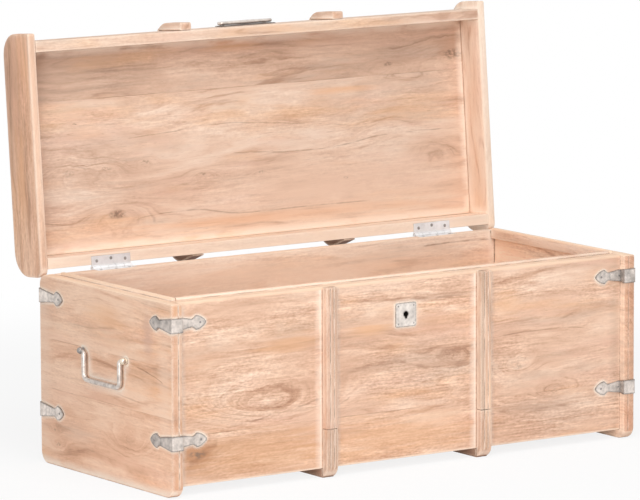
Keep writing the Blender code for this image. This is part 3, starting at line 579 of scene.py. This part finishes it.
# Figures of single boards, in board space:
# slope, tone, grit and contrast shape the grain; tint multiplies the whole board
# seams: place across, change of tone past it
# knots: place along and across, size, darkness
# veins: points along and across, half width, share
# stains and painted light: place along and across, half length, half width, colour, share
# shades: place along and across, half length, half width, tint that multiplies; most are painted shade, and a
# tint above one paints light
# joint, lime and worn: shares of the joint lines, of lime and halo, and of sanded arrises
# rim: level, depth, colour; sill: level, share; both along an edge of the board
# front_edge: tint of the strip that faces front; unlimed: place along from which lime is left off
# recess: middle, outer and inner face, reach; reeds: plane of a reeded face
FIGURES = {
    "lid_top_panel": {
        "slope": 0.60,
        "tone": -0.08,
        "grit": 0.75,
        "tint": LID_TINT,
        "joint": 0.15,
        # the plank by the lid's front wall is darker: partly its own tone, partly the painted shadow of the
        # front wall
        "seams": [(-0.133, 0.10)],
        "knots": [(-0.269, 0.059, 0.013, 0.95), (-0.357, -0.014, 0.010, 0.35), (-0.285, -0.017, 0.008, 0.5),
                  (-0.100, 0.006, 0.006, 0.6), (-0.209, -0.024, 0.005, 0.6), (-0.341, -0.094, 0.0035, 0.7),
                  (0.420, -0.160, 0.018, 1.0), (0.283, -0.151, 0.008, 0.8), (0.015, 0.011, 0.004, 0.6),
                  (0.185, 0.033, 0.004, 0.6), (0.374, 0.003, 0.008, 0.05)],
        "veins": [([(-0.060, -0.026), (-0.023, -0.025), (0.117, -0.018), (0.302, -0.034), (0.431, -0.033)],
                   0.0015, 0.6),
                  ([(-0.245, 0.079), (-0.143, 0.063), (-0.009, 0.076), (0.101, 0.075), (0.240, 0.077)],
                   0.0015, 0.55),
                  ([(-0.300, -0.062), (-0.158, -0.068), (-0.069, -0.075), (0.020, -0.070), (0.211, -0.053)],
                   0.0013, 0.5)],
        # the broad cream patch at 0.200, 0.050 is painted light on the lower right of the lid's inside
        "stains": [(0.184, -0.114, 0.090, 0.010, ORANGE, 0.6), (-0.031, -0.203, 0.080, 0.016, ORANGE, 0.5),
                   (0.060, 0.086, 0.420, 0.012, ORANGE, 0.60), (0.000, 0.120, 0.800, 0.030, BUTTER, 0.85),
                   (0.200, 0.050, 0.420, 0.085, CREAM, 0.65), (0.412, -0.170, 0.040, 0.024, BROWN, 0.70),
                   (0.300, -0.155, 0.070, 0.012, BROWN, 0.50), (-0.269, 0.057, 0.022, 0.014, BROWN, 0.60)],
        # painted shadows of the lid's front wall at the top left and of the lid's left end along the left
        # side
        "shades": [(-0.360, -0.190, 0.300, 0.080, (0.87, 0.87, 0.87, 1)),
                   (-0.360, -0.030, 0.200, 0.160, (0.92, 0.93, 0.94, 1))],
    },
    "front_panel": {
        "slope": 0.60,
        "tone": -0.015,
        "grit": 1.30,
        "contrast": 1.05,
        "joint": 0.15,
        # the rim is worn pale and partly a painted highlight of the lit top edge
        "rim": (BODY_RIM, 0.0060, RIM_WEAR_AND_HIGHLIGHT),
        "sill": (FRONT_LOW[2], 0.50),
        "unlimed": 0.398,
        "seams": [(0.094, 0.02)],
        "knots": [(-0.258, 0.127, 0.026, 0.12), (-0.397, 0.063, 0.013, 1.0), (0.223, 0.140, 0.009, 0.35),
                  (0.300, 0.094, 0.008, 0.3), (0.105, 0.160, 0.009, 0.25), (-0.164, 0.122, 0.006, 0.3)],
        "veins": [([(-0.344, 0.100), (-0.250, 0.112), (-0.145, 0.132)], 0.0026, 0.6),
                  ([(-0.416, 0.044), (-0.392, 0.060), (-0.358, 0.080)], 0.0100, 0.35),
                  ([(-0.167, 0.290), (-0.140, 0.284), (-0.106, 0.277), (0.010, 0.272), (0.128, 0.265)],
                   0.0036, 0.45),
                  ([(-0.116, 0.164), (-0.020, 0.172), (0.069, 0.154), (0.150, 0.160)], 0.0046, 0.45),
                  ([(0.180, 0.193), (0.260, 0.196), (0.363, 0.189)], 0.0018, 0.5),
                  ([(0.178, 0.074), (0.240, 0.066), (0.330, 0.068)], 0.0060, 0.4)],
        "stains": [(-0.394, 0.062, 0.046, 0.028, RUST, 0.75), (-0.068, 0.228, 0.060, 0.016, ORANGE, 0.6),
                   (-0.231, 0.220, 0.080, 0.020, ORANGE, 0.5), (-0.280, 0.055, 0.220, 0.050, ORANGE, 0.5),
                   (0.200, 0.250, 0.040, 0.030, ORANGE, 0.4), (-0.010, 0.055, 0.240, 0.045, ORANGE, 0.5),
                   (0.080, 0.160, 0.100, 0.013, BROWN, 0.60), (0.060, 0.270, 0.150, 0.009, BROWN, 0.50),
                   (0.250, 0.070, 0.110, 0.013, BROWN, 0.50), (-0.080, 0.166, 0.070, 0.010, BROWN, 0.40)],
        # the first and the last shade are painted shade, over the left part and beside the right end board's
        # proud edge
        "shades": [(-0.380, 0.150, 0.300, 0.240, (0.94, 0.92, 0.90, 1)),
                   (-0.300, 0.050, 0.220, 0.050, (0.90, 0.87, 0.84, 1)),
                   (0.310, 0.060, 0.130, 0.045, (0.92, 0.95, 0.98, 1)),
                   (0.426, 0.160, 0.024, 0.300, (0.84, 0.86, 0.87, 1))],
        # the keyhole's recess is painted shade inside the hole
        "recess": ((0.0, KEY_Z), (FRONT_LOW[1] + RECESS_SKIN, FRONT_HIGH[1] - RECESS_SKIN), RECESS_REACH),
    },
    "left_end_board": {
        "slope": 0.6,
        "tone": 0.04,
        "grit": 0.55,
        "contrast": 1.40,
        "tint": END_TINT,
        "front_edge": STRIP_TINT,
        "rim": (BODY_RIM, 0.0016, BUTTER),
        "seams": [(0.125, 0.02), (0.205, -0.01)],
        "knots": [(-0.125, 0.073, 0.012, 0.1), (0.091, 0.035, 0.005, 0.5), (0.100, 0.058, 0.004, 0.5)],
        "veins": [([(-0.223, 0.177), (-0.180, 0.190), (-0.127, 0.195)], 0.0013, 0.7)],
        "stains": [(-0.226, 0.170, 0.030, 0.120, CREAM, 0.45), (0.135, 0.170, 0.034, 0.200, CREAM, 0.40),
                   (0.030, 0.062, 0.070, 0.024, CREAM, 0.45), (-0.050, 0.262, 0.080, 0.026, ORANGE, 0.45),
                   (-0.178, 0.250, 0.020, 0.050, SMEAR, 0.55)],
    },
    "right_end_board": {
        "slope": 0.6,
        "tone": 0.10,
        # the tint is painted light, lifting the inner face, which stands in shade
        "tint": RIGHT_PAINTED_LIGHT,
        "front_edge": RIGHT_STRIP_TINT,
        "lime": 0.1,
        "worn": 0.5,
        "rim": (BODY_RIM, 0.0016, BUTTER),
        "seams": [(0.110, 0.02), (0.215, -0.02)],
        # painted shade on the inner side face beside the front edge, which darkens the outer face there too
        "shades": [(-0.240, 0.160, 0.011, 0.400, (0.80, 0.77, 0.76, 1))],
    },
    "back_panel": {
        "slope": 0.5,
        "tone": 0.08,
        "grit": 0.80,
        "tint": PALE_TINT,
        "seams": [(0.210, 0.0)],
        "veins": [([(0.280, 0.291), (0.345, 0.293), (0.433, 0.288)], 0.0024, 0.8)],
        # the raised tone and the peach patch are painted light lifting the inside face; the shade at the left
        # is painted shade
        "stains": [(0.000, 0.260, 0.620, 0.070, PEACH, 0.55)],
        "shades": [(-0.320, 0.270, 0.220, 0.090, (0.91, 0.88, 0.87, 1))],
    },
    "lid_left_end": {"tone": -0.04, "tint": END_TINT, "joint": 0.15, "sill": (LID_SILL, 0.25)},
    # the lid's right end is lightened in tone and tint: painted light on its inner face, which lies in shade
    "lid_right_end": {"tone": 0.12, "tint": PALE_TINT, "joint": 0.10, "sill": (LID_SILL, 0.45)},
    "lid_front_wall": {"grit": 0.72, "tint": LID_TINT, "joint": 0.30},
    "lid_back_wall": {"tone": 0.12, "grit": 0.72, "tint": PALE_TINT, "joint": 0.05, "sill": (LID_SILL, 0.55)},
    "front_lip": {"tint": FRONT_LIP_TINT},
    "left_lip": {"rim": (LIP_TOP, 0.0036, BUTTER), "tint": PALE_TINT, "joint": 0.50},
    "right_lip": {"tone": 0.06, "rim": (LIP_TOP, 0.0036, BUTTER), "tint": PALE_TINT, "joint": 0.50},
    # the back ribs' dark tint is painted shade in the hinge gap
    "lid_left_back_rib": {"tint": UNDERSIDE_PAINTED_SHADE, "lime": 0.1},
    "lid_right_back_rib": {"tint": UNDERSIDE_PAINTED_SHADE, "lime": 0.1},
    # the runners' dark tint is painted shade under the trunk
    "left_runner": {"tint": RUNNER_PAINTED_SHADE, "lime": 0.1},
    "right_runner": {"tint": RUNNER_PAINTED_SHADE, "lime": 0.1},
}
# painted shade on the right front rib's left side and painted light on its right part: share of its width,
# half width, tint
RIB_MIDDLE = 0.16
RIB_HALF_LENGTH = 0.60
RIB_PAINTED_SHADE_AND_LIGHT = ((0.10, 0.30, (0.74, 0.76, 0.76, 1)), (0.70, 0.45, (1.15, 1.12, 1.10, 1)))


def reeded_figures():
    """Figures of the trunk's ribs and feet, with the plane of their reeds."""
    figures = {}
    for side in ("left", "right"):
        for face, corner in (("front", 0), ("back", 1)):
            for kind in ("rib", "foot"):
                name = side + "_" + face + "_" + kind
                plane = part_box(name)[corner][1]
                figures[name] = {"joint": 0.90, "contrast": 1.3, "lime": 0.65, "reeds": plane}
    figures["left_front_rib"]["tint"] = LEFT_RIB_TINT
    figures["left_front_foot"]["tint"] = LEFT_FOOT_TINT
    low, high = (corner[0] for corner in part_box("right_front_rib"))
    figures["right_front_rib"]["shades"] = [
        (RIB_MIDDLE, low + share * (high - low), RIB_HALF_LENGTH, half * (high - low), tint)
        for share, half, tint in RIB_PAINTED_SHADE_AND_LIGHT
    ]
    return figures


def dress_wood():
    figures = {**FIGURES, **reeded_figures()}
    for number, name in enumerate(sorted(NODES)):
        fits = [kind for kind in BOARDS if name.endswith("_" + kind) or name == kind]
        if not fits:
            continue
        order, seed, tone = BOARDS[max(fits, key=len)]
        in_lid = name.startswith("lid_")
        figure = figures.get(name, {})
        seed += SEED_STEP * number
        tone += figure.get("tone", 0.0)
        NODES[name].data.materials[0] = wood(name + "_wood", order, in_lid, seed, tone, figure)


WORN_IRON = (0.86, 0.83, 0.80, 1)
DARK_IRON = (0.070, 0.060, 0.055, 1)
SIDE_PAINTED_SHADE = (0.480, 0.475, 0.480, 1)
IRON_ARRIS_R = 0.0008
IRON_CORNER = 0.003
IRON_METALLIC = 0.75
IRON_BUMP = {"Strength": 0.30, "Distance": 0.0004}


def iron(name, light, dark, rough, border=0.0, painted_side_shade=0.0):
    """Grey iron, patchy and faintly hammered; border darkens a plate's edges, and the last argument paints
    shade on the end faces in front.
    """
    mat, g, shader = new_material(name)
    place = g.add("TexCoord").outputs["Object"]
    patch = g.noise(place, 4.0, 0.6, 110.0)
    speck = g.noise(place, 2.0, 0.5, 900.0)
    cloud = g.noise(place, 2.0, 0.5, 28.0)
    tone = g.total((patch, 0.55), (speck, 0.1), (cloud, 0.35))
    colour = g.ramp(tone, [(0.34, dark), (0.62, light)])
    # painted shade on the side-facing end faces of the front irons
    if painted_side_shade:
        sideways = g.math("ABSOLUTE", g.split(g.add("NewGeometry").outputs["True Normal"])[0])
        in_front = g.math("LESS_THAN", g.split(place)[1], 0.0)
        share = g.product(g.span(sideways, 0.4, 0.8), in_front, painted_side_shade)
        colour = g.mix(share, colour, SIDE_PAINTED_SHADE, "MULTIPLY")
    if border:
        colour = g.mix(g.product(g.span(g.facing(border), 0.995, 0.92), 0.82), colour, DARK_IRON)
    else:
        colour = g.mix(g.product(g.span(g.facing(IRON_ARRIS_R), 0.99, 0.8), 0.5), colour, WORN_IRON)
    # painted shade in tight corners and under the bars, which also stands for dark oxide in the hollows
    colour = g.mix(g.span(g.openness(IRON_CORNER), 0.55, 0.15, 0.0, 0.85), colour, DARK_IRON)
    g.put(shader.inputs["Base Color"], colour)
    g.put(shader.inputs["Roughness"], g.span(patch, 0.3, 0.7, rough + 0.10, rough - 0.06))
    shader.inputs["Metallic"].default_value = IRON_METALLIC
    relief = g.add("Bump", {**IRON_BUMP, "Height": patch})
    g.put(shader.inputs["Normal"], relief.outputs[0])
    return mat


# the strap iron paints shade on the front straps' end faces
STRAP_IRON = iron("strap_iron_worn_side_shaded", (0.93, 0.83, 0.76, 1), (0.42, 0.38, 0.35, 1), 0.48, 0.0034, 0.6)
PLATE_IRON = iron("plate_iron_worn", (0.98, 0.90, 0.83, 1), (0.55, 0.50, 0.46, 1), 0.48, 0.0028)
NAIL_IRON = iron("nail_iron_dark", (0.42, 0.39, 0.37, 1), (0.20, 0.18, 0.17, 1), 0.45)
HANDLE_IRON = iron("handle_iron_worn", (0.80, 0.73, 0.67, 1), (0.40, 0.35, 0.32, 1), 0.38)
# the front posts' pale warm iron is a painted highlight
POST_IRON_PAINTED_HIGHLIGHT = iron("post_iron_painted_highlight", (0.95, 0.84, 0.68, 1), (0.62, 0.54, 0.44, 1), 0.38)
PULL_IRON = iron("pull_iron_brown", (0.20, 0.145, 0.11, 1), (0.09, 0.06, 0.045, 1), 0.50)
HINGE_STEEL = iron("hinge_steel_dull", (0.93, 0.92, 0.92, 1), (0.76, 0.75, 0.75, 1), 0.36)
# by the end of the node's name; a later, longer ending wins
# the back posts take the dark nail iron as painted shade, so front and back posts are lit and shaded copies
# of one post
IRONS = {"strap": STRAP_IRON, "key_plate": PLATE_IRON, "pull_plate": PULL_IRON, "bail": HANDLE_IRON,
         "post": HANDLE_IRON, "back_post": NAIL_IRON, "front_post": POST_IRON_PAINTED_HIGHLIGHT,
         "leaf": HINGE_STEEL, "pin": HINGE_STEEL}


def dress_iron():
    for name, node in NODES.items():
        for kind, mat in IRONS.items():
            if name.endswith(kind):
                node.data.materials[0] = mat


SAME_CORNER = 0.000005
NODE_SMOOTH = radians(38)
PIECE_SMOOTH = radians(40)


def smooth_group():
    """Joins the triangles' shared corners and shades round faces smooth, leaving arrises sharp."""
    tree = bpy.data.node_groups.new("smooth_faces", "GeometryNodeTree")
    tree.interface.new_socket("Geometry", in_out="INPUT", socket_type="NodeSocketGeometry")
    tree.interface.new_socket("Geometry", in_out="OUTPUT", socket_type="NodeSocketGeometry")
    g = Graph(tree, "GeometryNode")
    given = tree.nodes.new("NodeGroupInput").outputs[0]
    joined = g.add("MergeByDistance", {"Geometry": given, "Distance": SAME_CORNER}).outputs[0]
    plain = g.add("RemoveAttribute", {"Geometry": joined, "Name": "custom_normal"}).outputs[0]
    flat = tree.nodes.new("FunctionNodeCompare")
    flat.operation = "LESS_THAN"
    g.put(flat.inputs[0], g.add("InputMeshEdgeAngle").outputs["Unsigned Angle"])
    g.put(flat.inputs[1], NODE_SMOOTH)
    by_edge = {"Geometry": plain, "Shade Smooth": flat.outputs[0]}
    edges = g.add("SetShadeSmooth", by_edge, domain="EDGE").outputs[0]
    faces = g.add("SetShadeSmooth", {"Geometry": edges, "Shade Smooth": True}, domain="FACE").outputs[0]
    g.put(tree.nodes.new("NodeGroupOutput").inputs[0], faces)
    return tree


def smooth_all():
    tree = smooth_group()
    for node in NODES.values():
        node.modifiers.new("smooth_faces", "NODES").node_group = tree


# fasteners, in metres
STRAP_STAND = 0.0017
TIP_TO_NAIL = 0.011
STEP_TO_NAIL = 0.0255
NAIL_R = 0.0019
STEP_NAIL_R = NAIL_R * 0.8
PLATE_NAIL_R = 0.0014
PLATE_NAIL_INSET = 0.0050
SCREW_R = 0.0027
SCREW_SLOT = 0.0006
SCREW_PITCH = 0.027
SCREW_STAGGER = 0.0014
KNUCKLE_SHARE = 0.34
LATHE_SIDES = 14
CAP_STEPS = 9
# profiles of radius and height, in radii
NAIL_HEAD = ((0, -0.15), (1, -0.15), (1, 0.14), (0.86, 0.34), (0.55, 0.48), (0, 0.54))
SCREW_DISC = ((0, -0.05), (0.97, -0.05), (0.97, 0.02), (0, 0.02))
SCREW_CAP = ((1.0, 0.02), (1.0, 0.06), (0.80, 0.09))


def standing(spot, facing):
    """The place of a fastener at a spot, its axis along the way it faces."""
    turn = Vector(facing).to_track_quat("Z", "Y").to_matrix().to_4x4()
    return Matrix.Translation(Vector(spot)) @ turn


def lathe(work, profile, matrix, size):
    """A closed turned shape about local Z, added to a bmesh."""
    rings = []
    for r, h in profile:
        radius, height = size * r, size * h
        turns = [2 * pi * i / LATHE_SIDES for i in range(LATHE_SIDES)] if radius > 0 else [0.0]
        spots = [Vector((radius * cos(t), radius * sin(t), height)) for t in turns]
        rings.append([work.verts.new(matrix @ spot) for spot in spots])
    for lower, upper in zip(rings, rings[1:]):
        for i in range(LATHE_SIDES):
            j = (i + 1) % LATHE_SIDES
            below = [lower[i % len(lower)], lower[j % len(lower)]]
            above = [upper[j % len(upper)], upper[i % len(upper)]]
            work.faces.new(list(dict.fromkeys(below + above)))


def nail(work, matrix, radius):
    lathe(work, NAIL_HEAD, matrix, radius)


def screw(work, matrix, radius):
    """A slotted head: a low disc under two half caps."""
    lathe(work, SCREW_DISC, matrix, radius)
    half_slot = SCREW_SLOT / 2
    start = half_slot / radius
    turns = [start + (pi - 2 * start) * i / CAP_STEPS for i in range(CAP_STEPS + 1)]
    for side in (1, -1):
        rings = []
        for size, height in SCREW_CAP:
            level = []
            for t in turns:
                y = side * max(half_slot, radius * size * sin(t))
                spot = Vector((radius * size * cos(t), y, radius * height))
                level.append(work.verts.new(matrix @ spot))
            rings.append(level)
        count = len(turns)
        for lower, upper in zip(rings, rings[1:]):
            for i in range(count):
                j = (i + 1) % count
                work.faces.new((lower[i], lower[j], upper[j], upper[i]))
        work.faces.new(rings[0])
        work.faces.new(rings[-1])


def piece(name, work, mat, body):
    """Turns a bmesh into a smooth piece that rides on a body and takes a slot's finish."""
    bmesh.ops.recalc_face_normals(work, faces=work.faces)
    mesh = bpy.data.meshes.new(name)
    work.to_mesh(mesh)
    work.free()
    mesh.materials.append(mat)
    mesh.shade_smooth()
    mesh.set_sharp_from_angle(angle=PIECE_SMOOTH)
    obj = bpy.data.objects.new(name, mesh)
    bpy.context.scene.collection.objects.link(obj)
    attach(obj, body)


def strap_nails():
    """Two nails in each strap's long arm and one in its short arm."""
    work = bmesh.new()
    for side, sx, outer in (("left", -1, 0), ("right", 1, 1)):
        for face, sy, panel in (("front", -1, "front_panel"), ("back", 1, "back_panel")):
            for level in ("upper", "lower"):
                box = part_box(side + "_" + face + "_" + level + "_strap")
                z = (box[0][2] + box[1][2]) / 2
                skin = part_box(panel)[0 if sy < 0 else 1][1] + sy * STRAP_STAND
                tip_x = box[1 - outer][0]
                end_x = box[outer][0]
                tip_y = box[1 if sy < 0 else 0][1]
                nail(work, standing((tip_x + sx * TIP_TO_NAIL, skin, z), (0, sy, 0)), NAIL_R)
                nail(work, standing((end_x - sx * STEP_TO_NAIL, skin, z), (0, sy, 0)), STEP_NAIL_R)
                nail(work, standing((end_x, tip_y + sy * TIP_TO_NAIL, z), (sx, 0, 0)), NAIL_R)
    piece("strap_nails", work, NAIL_IRON, "trunk")


def plate_nails():
    work = bmesh.new()
    for x in (PLATE_LOW[0] + PLATE_NAIL_INSET, PLATE_HIGH[0] - PLATE_NAIL_INSET):
        for z in (PLATE_LOW[2] + PLATE_NAIL_INSET, PLATE_HIGH[2] - PLATE_NAIL_INSET):
            nail(work, standing((x, PLATE_LOW[1], z), (0, -1, 0)), PLATE_NAIL_R)
    piece("key_plate_nails", work, NAIL_IRON, "trunk")


def hinge_screws():
    """Three screws in each leaf; the lid's are set out on the closed hinge and swung open."""
    opening = LID_CLOSING.inverted().to_4x4()
    opened = Matrix.Translation(LID_AXIS) @ opening @ Matrix.Translation(-LID_AXIS)
    trunk_work = bmesh.new()
    lid_work = bmesh.new()
    seat = LID_AXIS.z - (BODY_RIM - LID_AXIS.z)
    for side in ("left", "right"):
        low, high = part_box(side + "_hinge_body_leaf")
        middle = (low[0] + high[0]) / 2
        plate_back = LID_AXIS.y - (LID_AXIS.y - low[1]) * KNUCKLE_SHARE
        row = (low[1] + plate_back) / 2
        for k in (-1, 0, 1):
            x = middle + k * SCREW_PITCH
            y = row + SCREW_STAGGER * (k % 2 * 2 - 1)
            screw(trunk_work, standing((x, y, BODY_RIM), (0, 0, 1)), SCREW_R)
            screw(lid_work, opened @ standing((x, y, seat), (0, 0, -1)), SCREW_R)
    piece("hinge_body_screws", trunk_work, NAIL_IRON, "trunk")
    piece("hinge_lid_screws", lid_work, NAIL_IRON, "lid")


# stage
WHITE = (1, 1, 1, 1)
FLOOR_COLOUR = (0.92, 0.92, 0.92, 1)
FLOOR_SIZE = 30.0
FLOOR_SHADE = 0.16
SHADE_NEAR = 0.9
SHADE_FAR = 1.7
WORLD_LIGHT = 0.40


def seen_ray(g):
    """1 for rays from the camera, off metal or through glass, which see a white background."""
    path = g.add("LightPath").outputs
    seen = g.math("MAXIMUM", path["Is Camera Ray"], path["Is Glossy Ray"])
    return g.math("MAXIMUM", seen, path["Is Transmission Ray"])


def floor():
    """A white floor that takes the trunk's shadow close by and is plain white further out."""
    work = bmesh.new()
    bmesh.ops.create_grid(work, x_segments=1, y_segments=1, size=FLOOR_SIZE)
    mesh = bpy.data.meshes.new("floor")
    work.to_mesh(mesh)
    work.free()
    obj = bpy.data.objects.new("floor", mesh)
    bpy.context.scene.collection.objects.link(obj)
    mat, g, shader = new_material("floor_white")
    g.tree.nodes.remove(shader)
    away = g.length(g.add("TexCoord").outputs["Object"])
    plain = g.span(away, SHADE_NEAR, SHADE_FAR, 1 - FLOOR_SHADE, 1.0)
    matte = g.add("BsdfDiffuse", {"Color": FLOOR_COLOUR}).outputs[0]
    bright = g.add("Emission", {"Color": WHITE, "Strength": 1.0}).outputs[0]
    shown = g.add("MixShader", {0: g.product(seen_ray(g), plain), 1: matte, 2: bright}).outputs[0]
    g.put(g.tree.nodes["Material Output"].inputs["Surface"], shown)
    mesh.materials.append(mat)


def world():
    made = bpy.data.worlds.new("studio")
    bpy.context.scene.world = made
    made.use_nodes = True
    g = Graph(made.node_tree)
    g.tree.nodes.remove(g.tree.nodes["Background"])
    light = g.add("Background", {"Color": WHITE, "Strength": WORLD_LIGHT}).outputs[0]
    white = g.add("Background", {"Color": WHITE, "Strength": 1.0}).outputs[0]
    shown = g.add("MixShader", {0: seen_ray(g), 1: light, 2: white}).outputs[0]
    g.put(g.tree.nodes["World Output"].inputs["Surface"], shown)


# name, place, aim, size across and watts of each soft lamp
LAMPS = (
    ("overhead", (-0.5, -1.4, 3.0), (0, 0, 0.3), 2.4, 47),
    ("front_fill", (-6.0, -6.6, 2.4), (0, 0, 0.35), 5.0, 352),
)


def lamp(name, place, aim, size, watts):
    data = bpy.data.lights.new(name, "AREA")
    data.shape = "DISK"
    data.size = size
    data.energy = watts
    obj = bpy.data.objects.new(name, data)
    obj.location = place
    obj.rotation_euler = (Vector(aim) - Vector(place)).to_track_quat("-Z", "Y").to_euler()
    bpy.context.scene.collection.objects.link(obj)


# the photograph's view, fitted to the trunk's corners
CAMERA_PLACE = Vector((-4.718565, -6.902026, 1.559022))
CAMERA_YAW = radians(-34.3319)
CAMERA_PITCH = radians(8.4100)
CAMERA_ROLL = radians(-0.2236)
CAMERA_LENS = 291.863
CAMERA_SENSOR = 36.0
CAMERA_FAR = 100.0


def camera():
    flat = cos(CAMERA_PITCH)
    back = Vector((sin(CAMERA_YAW) * flat, -cos(CAMERA_YAW) * flat, sin(CAMERA_PITCH)))
    right = (-back).cross(Vector((0, 0, 1))).normalized()
    up = right.cross(-back)
    level = right * cos(CAMERA_ROLL) + up * sin(CAMERA_ROLL)
    upright = up * cos(CAMERA_ROLL) - right * sin(CAMERA_ROLL)
    data = bpy.data.cameras.new("camera")
    data.lens = CAMERA_LENS
    data.sensor_width = CAMERA_SENSOR
    data.clip_end = CAMERA_FAR
    obj = bpy.data.objects.new("camera", data)
    turn = Matrix((level, upright, back)).transposed().to_4x4()
    obj.matrix_world = Matrix.Translation(CAMERA_PLACE) @ turn
    bpy.context.scene.collection.objects.link(obj)
    bpy.context.scene.camera = obj


dress_wood()
dress_iron()
smooth_all()
strap_nails()
plate_nails()
hinge_screws()
floor()
world()
for values in LAMPS:
    lamp(*values)
camera()
bpy.context.scene.view_settings.view_transform = "Standard"
